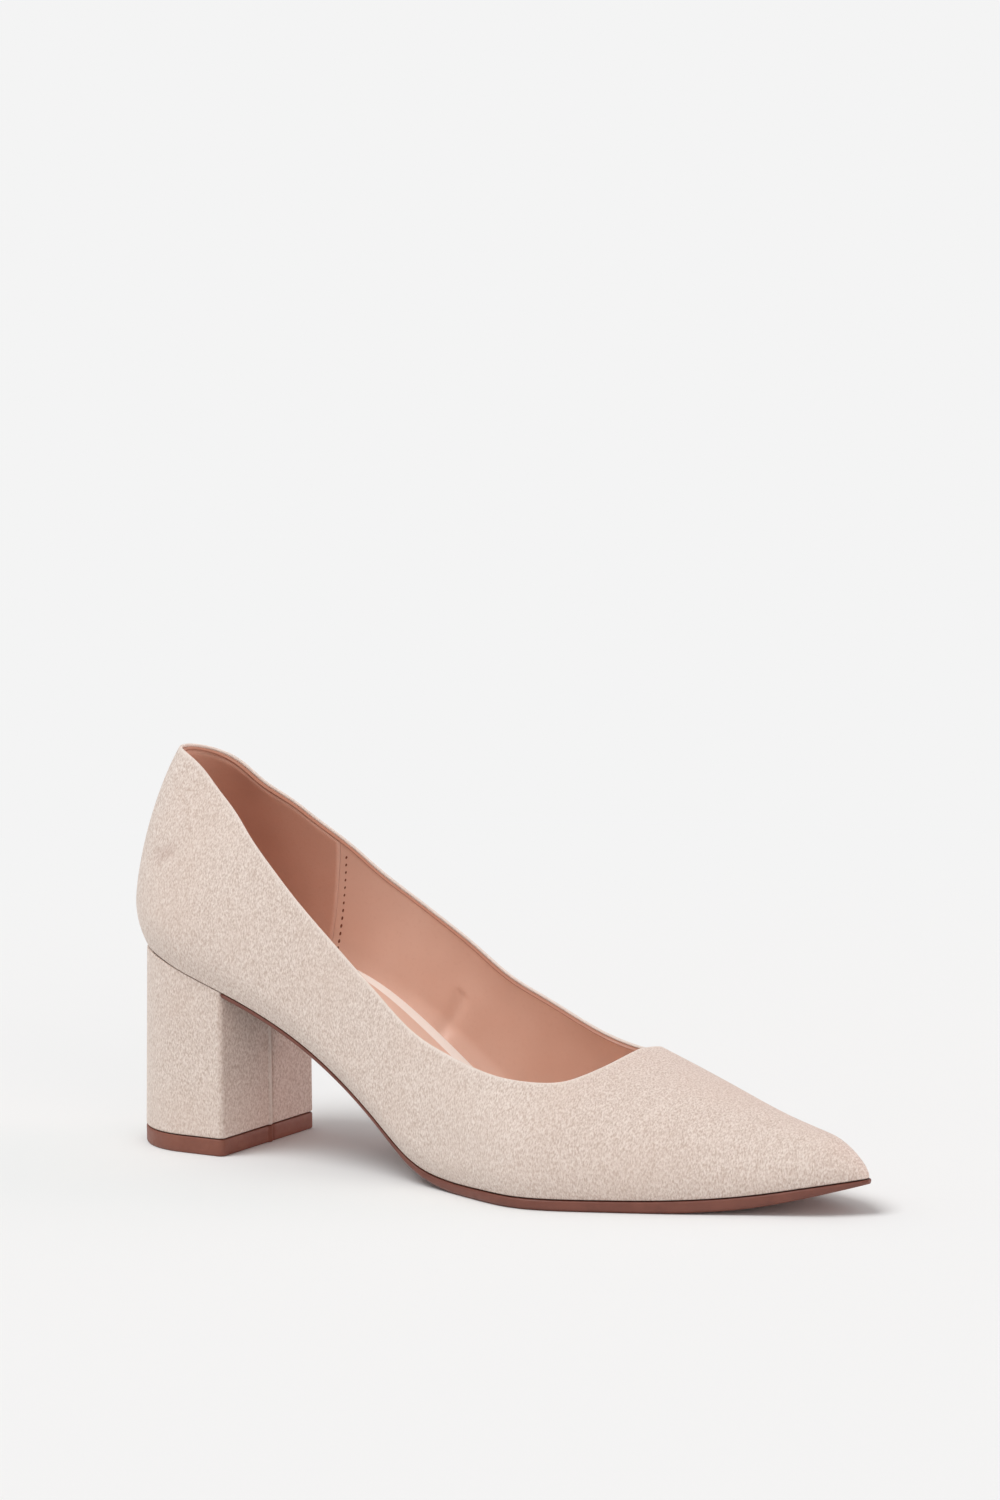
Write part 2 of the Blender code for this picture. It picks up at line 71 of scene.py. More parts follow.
# at, right, left, rise, spring, arch, bulge, level, crown, ridge, wide, tall, as in the solids
sections = [
    (0.015, 0.320, 0.320, 1.000, 0.00, 0.00, 1.00, 0.95, 0.980, 0.00, 2.00, 1.55),
    (0.060, 0.320, 0.320, 0.980, 0.00, 0.00, 1.00, 0.90, 0.965, 0.00, 1.33, 1.50),
    (0.120, 0.320, 0.320, 0.895, 0.00, 0.00, 0.95, 0.82, 0.945, 0.00, 1.20, 1.50),
    (0.200, 0.316, 0.318, 0.765, 0.00, 0.30, 0.90, 0.72, 0.970, 0.00, 1.70, 1.60),
    (0.300, 0.318, 0.318, 0.545, 0.00, 0.90, 1.00, 0.66, 1.000, 0.00, 2.30, 1.80),
    (0.400, 0.352, 0.350, 0.228, 0.00, 1.00, 1.10, 0.63, 0.970, -0.02, 2.30, 2.00),
    (0.450, 0.387, 0.373, 0.072, 0.00, 0.84, 1.05, 0.62, 0.920, -0.05, 2.25, 2.00),
    (0.500, 0.430, 0.400, 0.008, 0.00, 0.60, 0.95, 0.60, 0.855, -0.08, 2.20, 2.00),
    (0.570, 0.512, 0.430, 0.000, 0.00, 0.18, 0.70, 0.56, 0.730, -0.20, 2.10, 2.00),
    (0.625, 0.555, 0.447, 0.000, 0.00, 0.00, 0.55, 0.52, 0.620, -0.32, 2.05, 2.00),
    (0.710, 0.488, 0.437, 0.000, 0.01, 0.00, 0.45, 0.45, 0.490, -0.50, 2.00, 1.90),
    (0.800, 0.372, 0.335, 0.000, 0.08, 0.00, 0.35, 0.36, 0.378, -0.70, 2.00, 1.90),
    (0.890, 0.245, 0.190, 0.000, 0.37, 0.00, 0.28, 0.26, 0.252, -0.85, 2.00, 1.90),
    (0.950, 0.170, 0.105, 0.000, 0.74, 0.00, 0.22, 0.18, 0.165, -0.95, 2.00, 2.00),
    (1.000, 0.098, 0.025, 0.000, 1.00, 0.00, 0.18, 0.10, 0.095, -1.00, 2.00, 2.00),
]
# at, and the topline's share of the way up the rib on the right and on the left; the solids' line
# with its small waves taken out, and up to 3 mm higher near the back, as in the photo
cuts = [
    (0.0174, 0.730, 0.730),
    (0.052, 0.753, 0.740),
    (0.095, 0.757, 0.760),
    (0.145, 0.730, 0.735),
    (0.195, 0.647, 0.643),
    (0.246, 0.557, 0.551),
    (0.300, 0.496, 0.486),
    (0.360, 0.474, 0.484),
    (0.430, 0.480, 0.528),
    (0.510, 0.472, 0.538),
    (0.588, 0.457, 0.506),
    (0.642, 0.500, 0.535),
    (0.673, 0.589, 0.620),
    (0.692, 0.745, 0.760),
    (0.698, 1.000, 1.000),
]
mesh = {
    "ribs": 210,  # a side
    "rows": 36,
    "trialRows": 30,
    "ribSamples": 96,
    "outlineSamples": 700,
    "ribSpacing": (1.14, 6),  # draws the ribs together towards the toe
}
length = last["length"]


def spline(knots, values):
    # natural cubic curve through the knots
    knots, values = np.asarray(knots, float), np.asarray(values, float)
    step = np.diff(knots)
    slope = np.diff(values) / step
    count = len(knots)
    matrix, right = np.eye(count), np.zeros(count)
    for i in range(1, count - 1):
        matrix[i, i - 1 : i + 2] = step[i - 1], 2 * (step[i - 1] + step[i]), step[i]
        right[i] = 6 * (slope[i] - slope[i - 1])
    bend = np.linalg.solve(matrix, right)

    def curve(at):
        at = np.asarray(at, float)
        i = np.clip(np.searchsorted(knots, at) - 1, 0, count - 2)
        a, b = knots[i + 1] - at, at - knots[i]
        cubic = (bend[i] * a**3 + bend[i + 1] * b**3) / (6 * step[i])
        leftEnd = (values[i] / step[i] - bend[i] * step[i] / 6) * a
        rightEnd = (values[i + 1] / step[i] - bend[i + 1] * step[i] / 6) * b
        return cubic + leftEnd + rightEnd

    return curve


def column(index, scale):
    return spline([length * row[0] for row in sections], [scale * row[index] for row in sections])


halfWidth = {-1: column(1, last["ballWidth"]), 1: column(2, last["ballWidth"])}
rise = column(3, last["heelHeight"] - last["ballLevel"])
spring, arch = column(4, last["toeSpring"]), column(5, last["arch"])
bulge, level = column(6, last["bulge"]), column(7, last["bulgeLevel"])
crown, ridge = column(8, last["crownHeight"]), column(9, last["ridgeSwing"])
widePower, tallPower = column(10, 1.0), column(11, 1.0)


def bottom(side, x):
    return last["ballLevel"] + rise(x) + spring(x) + (arch(x) if side > 0 else 0.0)


def toeRound(x):
    into = np.clip((x - length + last["toeRounding"]) / last["toeRounding"], 0, 1)
    return np.sqrt(1 - into**2)


def sideOutline(side):
    # featherline of one side from above: x, y and the length along it
    centre, samples = last["seatCentre"], mesh["outlineSamples"]
    turn = np.linspace(0, math.pi / 2, samples // 4)
    arcX = centre - (centre - last["seatTuck"]) * np.cos(turn)
    arcY = last["seatWidth"] / 2 * np.sin(turn)
    close = np.linspace(0, math.pi / 2, samples)[1:]
    runX = centre + (length - centre) * np.sin(close)
    seatShare = last["seatWidth"] / 2 / halfWidth[side](centre)
    settle = np.clip((runX - centre) / (length * last["seatBlend"]), 0, 1)
    fit = seatShare + (1 - seatShare) * settle**2 * (3 - 2 * settle)
    tip = ridge(length)
    runY = (halfWidth[side](runX) * fit - side * tip) * toeRound(runX) + side * tip
    x, y = np.concatenate([arcX, runX]), np.concatenate([arcY, runY])
    run = np.concatenate([[0], np.cumsum(np.hypot(np.diff(x), np.diff(y)))])
    return x, y, run


outline = {side: sideOutline(side) for side in (-1, 1)}


def ribPoints(side, along, up):
    # points of the last: along the featherline from the back, and up from 0 there to 1 at the crown
    lineX, lineY, run = outline[side]
    fan = last["heelFan"]
    x, y = np.interp(along, run, lineX), np.interp(along, run, lineY)
    turn = math.pi / 2 * np.sin(math.pi / 2 * np.clip(along / fan, last["fanLeast"], 1))
    swing = side * ridge(x) * np.clip(along / fan - 1, 0, 1)
    reach = (y - swing) / np.sin(turn)
    reach = np.where(along < fan * last["fanLeast"], fan * 4 / math.pi**2, reach)
    shrink = toeRound(x)
    out, low, tall = bulge(x) * shrink, level(x) * shrink, crown(x) * shrink
    tuck = np.linspace(0, 1, mesh["ribSamples"] // 4)[:, None]
    sweep = np.linspace(0, math.pi / 2, mesh["ribSamples"])[1:, None]
    cosine, sine = np.maximum(np.cos(sweep), 0), np.sin(sweep)
    over = -out + (reach + out) * (1 - cosine ** (2 / widePower(x)))
    inset = np.concatenate([-out * (1 - (1 - tuck) ** 2), over])
    height = np.concatenate([low * tuck, low + tall * sine ** (2 / tallPower(x))])
    girth = np.cumsum(np.hypot(np.diff(inset, axis=0), np.diff(height, axis=0)), axis=0)
    girth = np.concatenate([np.zeros((1, girth.shape[1])), girth])
    points = np.empty((len(along), 3))
    for i, share in enumerate(up):
        place = share * girth[-1, i]
        into = np.interp(place, girth[:, i], inset[:, i])
        points[i, 0] = x[i] + np.cos(turn[i]) * into
        points[i, 1] = side * (y[i] - np.sin(turn[i]) * into)
        points[i, 2] = bottom(side, x[i]) + np.interp(place, girth[:, i], height[:, i])
    return points, girth[-1]


def topline(side):
    lineX, _, run = outline[side]
    along = np.interp([length * cut[0] for cut in cuts], lineX, run)
    up = np.array([cut[1] if side < 0 else cut[2] for cut in cuts])
    along = np.concatenate([[-along[1]], along, [along[-2]]])
    up = np.concatenate([[up[1]], up, [2 - up[-2]]])
    place = np.concatenate([[0], np.cumsum(np.hypot(np.diff(along) / length, np.diff(up)))])
    fine = np.linspace(place[1], place[-2], mesh["outlineSamples"])
    return spline(place, along)(fine), np.minimum(spline(place, up)(fine), 1.0)


def sideGrid(side, lifts):
    # outer surface of one side; lifts has each rib's shares of the way to the topline
    lineX, _, run = outline[side]
    ribs = lifts.shape[0]
    cutAlong, cutUp = topline(side)
    even = np.linspace(0, 1, ribs)
    stretch, power = mesh["ribSpacing"]
    base = (even * stretch - (stretch - 1) * even**power) * run[-1]
    fan = np.interp(length * last["fanStart"], lineX, run)
    cutSteps = np.hypot(np.diff(cutAlong), last["girth"] * np.diff(cutUp))
    cutRun = np.concatenate([[0], np.cumsum(cutSteps)])
    fanRun = np.interp(fan, cutAlong, cutRun)
    share = np.clip((base - fan) / (run[-1] - fan), 0, 1)
    fanned = fanRun + share * (cutRun[-1] - fanRun)
    place = np.where(base < fan, np.interp(base, cutAlong, cutRun), fanned)
    topUp = np.interp(place, cutRun, cutUp)
    topAlong = np.where(base < fan, base, np.interp(place, cutRun, cutAlong))
    nothing = np.zeros(ribs)
    _, whole = ribPoints(side, base, nothing)
    _, topWhole = ribPoints(side, topAlong, nothing)
    grid = np.empty((ribs, lifts.shape[1], 3))
    for row in range(lifts.shape[1]):
        lift = lifts[:, row] ** (1 + share**3)
        along = base + (topAlong - base) * lift
        leftOver = whole * (1 - lift) + (1 - topUp) * topWhole * lift
        _, here = ribPoints(side, along, nothing)
        up = np.where(base < fan, topUp * lift, 1 - leftOver / np.maximum(here, 1e-9))
        grid[:, row], _ = ribPoints(side, along, np.clip(up, 0, 1))
    grid[-1, :, 1] = ridge(grid[-1, :, 0])
    return grid


def runUp(grid):
    # distance up each rib
    steps = np.linalg.norm(np.diff(grid, axis=1), axis=-1)
    return np.concatenate([np.zeros((len(grid), 1)), np.cumsum(steps, axis=1)], axis=1)


edgeSteps = np.array([0.0, 0.00012, 0.00030, 0.00055, 0.0009, 0.0014])  # rows close to both edges


def fittedGrid(side):
    # rows at fixed small distances from both edges, and evenly between them
    trial = np.tile(np.linspace(0, 1, mesh["trialRows"]), (mesh["ribs"] + 1, 1))
    far = runUp(sideGrid(side, trial))
    inner = edgeSteps[-1]
    lifts = np.empty((mesh["ribs"] + 1, mesh["rows"] + 2 * len(edgeSteps)))
    for i, run in enumerate(far):
        between = np.linspace(inner, run[-1] - inner, mesh["rows"] + 2)[1:-1]
        wanted = np.concatenate([edgeSteps, between, run[-1] - edgeSteps[::-1]])
        lifts[i] = np.interp(wanted, run, trial[i])
    return sideGrid(side, lifts)


def gridNormals(grid):
    around = np.roll(grid, -1, axis=0) - np.roll(grid, 1, axis=0)
    upward = np.gradient(grid, axis=1)
    normal = np.cross(around, upward)
    return normal / np.maximum(np.linalg.norm(normal, axis=-1, keepdims=True), 1e-12)


def smoothStep(x, start, end):
    into = np.clip((x - start) / (end - start), 0, 1)
    return into**2 * (3 - 2 * into)


right, left = fittedGrid(-1), fittedGrid(1)
right[-1] = left[-1] = (right[-1] + left[-1]) / 2
right[0] = left[0] = (right[0] + left[0]) / 2
shell = np.concatenate([right, left[-2:0:-1]])  # right side back to toe, left side toe to back
fromBottom = runUp(shell)
normals = gridNormals(shell)
fromTop = fromBottom[:, -1:] - fromBottom
print("last worked out:", shell.shape)

# The solids' box is centred on the origin, so the foot's own places are moved with the heel
topLow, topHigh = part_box("top_piece")
heelBack = 0.0024  # heel's back edge from the back of the counter
move = np.array([topLow.x - heelBack, (topLow.y + topHigh.y) / 2, 0.0])


def linear(hexColour):
    value = [int(hexColour[i : i + 2], 16) / 255 for i in (1, 3, 5)]
    return [c / 12.92 if c <= 0.04045 else ((c + 0.055) / 1.055) ** 2.4 for c in value] + [1.0]


def newPiece(name, points, faces, material, nodes=(), values=None):
    # nodes are the solids it replaces; values go to the material as the attribute edge, which carries
    # painted highlight and shade on the suede and the darker hem on the lining
    data = bpy.data.meshes.new(name)
    data.from_pydata((np.asarray(points).reshape(-1, 3) + move).tolist(), [], faces)
    data.materials.append(material)
    if values is not None:
        layer = data.attributes.new("edge", "FLOAT", "POINT")
        layer.data.foreach_set("value", np.asarray(values, np.float32).ravel())
    data.shade_smooth()
    piece = bpy.data.objects.new(name, data)
    bpy.context.scene.collection.objects.link(piece)
    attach(piece, "root")
    if nodes:
        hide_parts(*nodes)
    print(name, len(data.polygons))
    return piece


def ringFaces(count, levels, closed=False):
    # quads over rings of count points; closed joins the last ring to the first
    faces = []
    for k in range(levels if closed else levels - 1):
        here, above = k * count, (k + 1) % levels * count
        for i in range(count):
            after = (i + 1) % count
            faces.append((here + i, here + after, above + after, above + i))
    return faces


def turned(faces):
    # the same faces, seen from their other side
    return [tuple(reversed(face)) for face in faces]


def roundOff(distance, radius):
    # how far a face draws in at this distance from a rounded edge
    into = np.clip(radius - distance, 0, radius)
    return radius - np.sqrt(np.maximum(radius**2 - into**2, 0))


def nearSegment(points, start, end, width):
    # 1 on the segment, falling off smoothly over width
    start, end = np.array(start), np.array(end)
    way = end - start
    share = np.clip((points - start) @ way / (way @ way), 0, 1)
    gap = np.linalg.norm(points - (start + share[..., None] * way), axis=-1)
    return np.exp(-((gap / width) ** 2))


def addNode(tree, kind, inputs, out=0, **settings):
    # a node with its settings, and its inputs as values or links; gives back one of its outputs
    node = tree.nodes.new(kind)
    for name, value in settings.items():
        setattr(node, name, value)
    for socket, value in inputs.items():
        if isinstance(value, bpy.types.NodeSocket):
            tree.links.new(value, node.inputs[socket])
        else:
            node.inputs[socket].default_value = value
    return node.outputs[out]


def newMaterial(name, colour, roughness, ior=1.5):
    material = bpy.data.materials.new(name)
    material.use_nodes = True
    shader = material.node_tree.nodes["Principled BSDF"]
    shader.inputs["Base Color"].default_value = linear(colour)
    shader.inputs["Roughness"].default_value = roughness
    shader.inputs["IOR"].default_value = ior
    return material, material.node_tree, shader


def layered(tree, shader, colour, layers):
    # lays colours over the first; each one's share goes from least to most as its value goes low to high
    below = linear(colour)
    for value, low, high, least, most, over in layers:
        share = addNode(tree, "ShaderNodeMapRange", {"Value": value, "From Min": low, "From Max": high,
                        "To Min": least, "To Max": most})
        below = addNode(tree, "ShaderNodeMix", {0: share, 6: below, 7: linear(over)}, 2, data_type="RGBA")
    tree.links.new(below, shader.inputs["Base Color"])


def raised(tree, shader, layers):
    # lays one height over another, each with its depth and strength
    normal = None
    for height, depth, strength in layers:
        inputs = {"Height": height, "Distance": depth, "Strength": strength}
        if normal is not None:
            inputs["Normal"] = normal
        normal = addNode(tree, "ShaderNodeBump", inputs)
    tree.links.new(normal, shader.inputs["Normal"])


suede = {
    "dark": "#C2AEA2",  # between the naps
    "light": "#EADED5",  # their tips
    "patch": "#D6C2B5",  # where the nap lies the other way
    "fold": "#EADFD6",  # paler cloth stretched over the folded edge, brightened as a painted highlight there and on the heel seam's ridge
    "grooveShade": "#94695B",  # painted shade down in the heel seam's groove and in the cloth's troughs
    "grain": 0.0007,  # real nap is near 0.3 mm; drawn coarser, or it would fall between the pixels
    "napShape": (1.7, 1.0, 0.8),  # over 1 shortens its blobs: along, across, up
    "lean": (0.6, 0.5, 0.3),  # turns the noise's own grid off the shoe's axes
    "patchSize": 0.022,
    "unevenness": 0.0006,  # the cloth isn't pulled quite flat
    "napDepth": 0.0003,
    "speckDepth": 0.0001,
    "roughness": 0.92,
    "ior": 1.45,
    "gloss": 0.2,
    "sheen": 0.35,
    "sheenRoughness": 0.45,
    "sheenTint": "#FFF6EE",
}


def microsuede(name):
    # brushed polyester microfibre: matt, with a pale fuzz at its outline and a fine speckle
    material, tree, shader = newMaterial(name, suede["light"], suede["roughness"], suede["ior"])
    place = addNode(tree, "ShaderNodeTexCoord", {}, "Object")
    leaning = addNode(tree, "ShaderNodeMapping", {"Vector": place, "Rotation": suede["lean"],
                      "Scale": suede["napShape"]})
    nap = addNode(tree, "ShaderNodeTexNoise", {"Vector": leaning, "Scale": 1 / suede["grain"],
                  "Detail": 2.0, "Roughness": 0.55})
    speck = addNode(tree, "ShaderNodeTexNoise", {"Vector": place, "Scale": 2 / suede["grain"],
                    "Detail": 1.0, "Roughness": 0.5})
    lie = addNode(tree, "ShaderNodeTexNoise", {"Vector": place, "Scale": 1 / suede["patchSize"],
                  "Detail": 3.0, "Roughness": 0.55})
    edge = addNode(tree, "ShaderNodeAttribute", {}, "Fac", attribute_name="edge")
    layered(tree, shader, suede["dark"], [
        (nap, 0.32, 0.66, 0.0, 1.0, suede["light"]),
        (lie, 0.42, 0.72, 0.0, 0.25, suede["patch"]),
        # painted highlight along the folded edge and on the heel seam's ridge
        (edge, 0.1, 0.9, 0.0, 0.75, suede["fold"]),
        # painted shade in the heel seam's groove and in the cloth's troughs
        (edge, -1.0, -0.1, 0.85, 0.0, suede["grooveShade"]),
    ])
    raised(tree, shader, [
        (lie, suede["unevenness"], 0.6),
        (nap, suede["napDepth"], 0.8),
        (speck, suede["speckDepth"], 0.5),
    ])
    shader.inputs["Sheen Weight"].default_value = suede["sheen"]
    shader.inputs["Sheen Roughness"].default_value = suede["sheenRoughness"]
    shader.inputs["Sheen Tint"].default_value = linear(suede["sheenTint"])
    shader.inputs["Specular IOR Level"].default_value = suede["gloss"]
    return material


leatherWash = {"size": 0.03, "depth": 0.0008}  # slow unevenness of all the linings


def smoothLeather(name, finish):
    # polyurethane-coated lining leather, or its suede side where rougher: smooth to the eye, with
    # faint pores and a soft low gloss
    roughness = finish["roughness"]
    material, tree, shader = newMaterial(name, finish["colour"], roughness)
    place = addNode(tree, "ShaderNodeTexCoord", {}, "Object")
    pores = addNode(tree, "ShaderNodeTexNoise", {"Vector": place, "Scale": 1 / finish["pores"],
                    "Detail": 3.0, "Roughness": 0.6})
    wash = addNode(tree, "ShaderNodeTexNoise", {"Vector": place, "Scale": 1 / leatherWash["size"],
                   "Detail": 2.0, "Roughness": 0.5})
    edge = addNode(tree, "ShaderNodeAttribute", {}, "Fac", attribute_name="edge")
    layered(tree, shader, finish["colour"], [
        (wash, 0.35, 0.7, 0.0, 0.7, finish["dark"]),
        (pores, 0.3, 0.45, 0.25, 0.0, finish["dark"]),
        # darker band along the lining's topline: edge stain with painted shade
        (edge, 0.15, 0.9, 0.0, 1.0, finish.get("hemStainAndShade", finish["dark"])),
    ])
    rough = addNode(tree, "ShaderNodeMapRange", {"Value": pores, "From Min": 0.3, "From Max": 0.7,
                    "To Min": roughness + 0.08, "To Max": roughness - 0.05})
    tree.links.new(rough, shader.inputs["Roughness"])
    raised(tree, shader, [(wash, leatherWash["depth"], 0.5), (pores, finish["poreDepth"], 0.6)])
    return material


rubberFace = {"cloud": 0.007, "pebbleDepth": 0.00006}


def moulded(name, finish):
    # moulded rubber, edge-painted: a slight gloss over a hardly uneven face
    roughness = finish["roughness"]
    material, tree, shader = newMaterial(name, finish["colour"], roughness)
    place = addNode(tree, "ShaderNodeTexCoord", {}, "Object")
    cloud = addNode(tree, "ShaderNodeTexNoise", {"Vector": place, "Scale": 1 / rubberFace["cloud"],
                    "Detail": 3.0, "Roughness": 0.6})
    fine = addNode(tree, "ShaderNodeTexNoise", {"Vector": place, "Scale": 1 / finish["pebble"],
                   "Detail": 2.0, "Roughness": 0.5})
    layered(tree, shader, finish["colour"], [(cloud, 0.35, 0.7, 0.0, 0.8, finish["dark"])])
    rough = addNode(tree, "ShaderNodeMapRange", {"Value": fine, "From Min": 0.3, "From Max": 0.7,
                    "To Min": roughness - 0.06, "To Max": roughness + 0.1})
    tree.links.new(rough, shader.inputs["Roughness"])
    raised(tree, shader, [(fine, rubberFace["pebbleDepth"], 0.6)])
    return material


upper = {
    "cloth": (0.0, 0.00095),  # depths of the cloth's two faces
    "lining": (0.00100, 0.0020),
    "liningDrop": 0.0005,  # lining ends this far below the cloth's folded edge
    "dropReach": 3,  # drops over which it is drawn down to there
    "lip": 0.0003,  # and stands out by this along its edge
    "lipReach": 0.0009,
    "footRound": 0.6,  # roundness of both sheets' lower edge over that of their upper one
    "fold": 0.0011,  # reach of the pale folded edge with its painted highlight, and of the lining's darker hem
    "troughShade": 0.0016,  # painted shade: a trough this deep is darkest
}
liningFinish = {
    "colour": "#E3BDAA",
    "dark": "#D6AA95",
    "hemStainAndShade": "#B27C66",  # its cut edge along the topline: edge stain, with painted shade under the folded topline
    "roughness": 0.42,
    "pores": 0.0012,
    "poreDepth": 0.00006,
}
# side, start and end (along, up), width, and how far out (in below 0) soft troughs and ridges go; on the
# cloth, troughs are also darkened with painted shade by their depth
clothCreases = [
    (-1, (0.0180, 0.0872), (0.0215, 0.0890), 0.0034, -0.00055),
    (-1, (0.0140, 0.0940), (0.0260, 0.0985), 0.0040, 0.00035),
    (-1, (0.1200, 0.0330), (0.1500, 0.0275), 0.0045, -0.00015),
    (-1, (0.1280, 0.0240), (0.1580, 0.0200), 0.0060, 0.00025),
    (-1, (0.0300, 0.0700), (0.0600, 0.0560), 0.0120, 0.00030),
]
liningCreases = [
    (1, (0.0912, 0.0445), (0.0832, 0.0300), 0.0013, 0.00095),
    (1, (0.0960, 0.0430), (0.0890, 0.0290), 0.0040, -0.00050),
    (1, (0.1250, 0.0330), (0.1450, 0.0240), 0.0070, 0.00040),
    (1, (0.0650, 0.0720), (0.0760, 0.0560), 0.0090, -0.00035),
]


def creased(points, creases):
    push = np.zeros(points.shape[:-1])
    for side, start, end, width, depth in creases:
        here = side * points[..., 1] > 0
        push += depth * here * nearSegment(points[..., [0, 2]], start, end, width)
    return push


def skin(depths, drop, lip=0.0, creases=()):
    # one closed sheet between two depths under the outer surface, with rounded edges
    radius = (depths[1] - depths[0]) / 2
    grid, below = shell, fromTop
    if drop:
        grid = shell.copy()
        reach = drop * upper["dropReach"]
        lowered = np.minimum(fromTop, reach) / reach
        downward = np.gradient(shell, axis=1)
        downward = -downward / np.linalg.norm(downward, axis=-1, keepdims=True)
        grid += downward * (drop * (1 - lowered))[..., None]
    ends = np.maximum(roundOff(below, radius), roundOff(fromBottom, radius * upper["footRound"]))
    swell = lip * np.exp(-((below / upper["lipReach"]) ** 2))
    push = creased(grid, creases)
    outer = grid - normals * (depths[0] + ends - push)[..., None]
    inner = grid - normals * (depths[1] - ends + swell - push)[..., None]
    rows = [outer[:, k] for k in range(outer.shape[1])]
    rows += [inner[:, k] for k in range(inner.shape[1] - 2, 0, -1)]
    # tone paints a highlight along the folded edge and shade down in troughs, by their depth
    tone = np.exp(-((below / upper["fold"]) ** 2)) + np.minimum(push, 0) / upper["troughShade"]
    shades = [tone[:, k] for k in range(tone.shape[1])]
    shades += [tone[:, k] for k in range(tone.shape[1] - 2, 0, -1)]
    return np.array(rows), ringFaces(len(grid), len(rows), closed=True), np.array(shades)


def makeUpper():
    points, faces, shades = skin(upper["cloth"], 0.0, creases=clothCreases)
    cloth = microsuede("microsuede")
    newPiece("upperCloth", points, turned(faces), cloth, ["upper"], shades)
    points, faces, shades = skin(upper["lining"], upper["liningDrop"], upper["lip"], liningCreases)
    leather = smoothLeather("lining_pu_leather", liningFinish)
    newPiece("quarterLining", points, turned(faces), leather, values=shades)


grip = {
    "top": (0.0545, 0.0878),  # front seam's upper end: along, up
    "foot": (0.0477, 0.0584),  # and a point low on it
    "depths": (0.00195, 0.00230),
    "drop": 0.0012,  # below the topline
    "columns": 90,
    "holes": 14,
    "holeEvery": 0.0026,
    "holeInset": 0.0024,  # from the seam
    "holeRadius": 0.00050,
    "holeShape": (0.8, 1.5, 0.5),  # its width, height and depth over that radius
    "holeSink": 0.00008,
    "holeMesh": (5, 10),  # rings and spokes
    "firstHole": 0.0035,  # below the grip's top
    "lastHole": 0.0040,  # above its foot
    "firstRow": 4,  # of the shell's rows, counted from the featherline
    # thread colour, darkened as painted shade of the needle holes
    "thread": "#75432F",
    "twist": 0.0004,
    "twistDepth": 0.00004,
}
gripFinish = {
    "colour": "#CE9F8A",
    "dark": "#BF8E79",
    "roughness": 0.7,
    "pores": 0.0007,
    "poreDepth": 0.00012,
}


def seamAlong(z):
    (x1, z1), (x0, z0) = grip["top"], grip["foot"]
    return x0 + (x1 - x0) * (z - z0) / (z1 - z0)


def gripReach(grid, row):
    # fractional rib at which one side's row crosses the seam
    past = grid[:, row, 0] - seamAlong(grid[:, row, 2])
    near = past[: mesh["ribs"] // 2]
    after = int(np.argmax(near > 0))
    return after - near[after] / (near[after] - near[after - 1])


def patchGrid(rows):
    # points and normals of the heel grip, from seam to seam round the back
    total = len(shell)
    wholeRing = np.arange(-total // 2, total // 2)
    ring = shell[wholeRing]
    ringNormals = normals[wholeRing]
    leftSide = np.concatenate([shell[:1], shell[:0:-1]])
    points, directions = [], []
    for row in rows:
        reachRight, reachLeft = gripReach(shell, row), gripReach(leftSide, row)
        at = np.linspace(-reachLeft, reachRight, grip["columns"])
        points.append([np.interp(at, wholeRing, ring[:, row, axis]) for axis in range(3)])
        directions.append([np.interp(at, wholeRing, ringNormals[:, row, axis]) for axis in range(3)])
    return np.array(points).transpose(2, 0, 1), np.array(directions).transpose(2, 0, 1)


def makeGrip():
    backDistance = fromTop[0]
    rows = [row for row in range(grip["firstRow"], shell.shape[1]) if backDistance[row] > grip["drop"]]
    points, directions = patchGrid(rows)
    radius = (grip["depths"][1] - grip["depths"][0]) / 2
    up = runUp(points)
    across = runUp(points.transpose(1, 0, 2)).T
    border = np.minimum(np.minimum(up, up[:, -1:] - up), np.minimum(across, across[-1:] - across))
    ends = roundOff(border, radius)
    outer = points - directions * (grip["depths"][0] + ends)[..., None]
    inner = points - directions * (grip["depths"][1] - ends)[..., None]
    wide, tall = points.shape[:2]
    faces = []
    for sheet, inside in ((0, False), (wide * tall, True)):
        for i in range(wide - 1):
            for j in range(tall - 1):
                a = sheet + i * tall + j
                face = (a, a + tall, a + tall + 1, a + 1)
                faces.append(tuple(reversed(face)) if inside else face)
    rim = [i * tall for i in range(wide)] + [(wide - 1) * tall + j for j in range(1, tall)]
    rim += [i * tall + tall - 1 for i in range(wide - 2, -1, -1)] + list(range(tall - 2, 0, -1))
    for a, b in zip(rim, rim[1:] + rim[:1]):
        faces.append((a, a + wide * tall, b + wide * tall, b))
    both = np.concatenate([outer.reshape(-1, 3), inner.reshape(-1, 3)])
    suedeGrip = smoothLeather("heel_grip_suede", gripFinish)
    newPiece("heelGrip", both, faces, suedeGrip)
    makeHoles(points, directions)


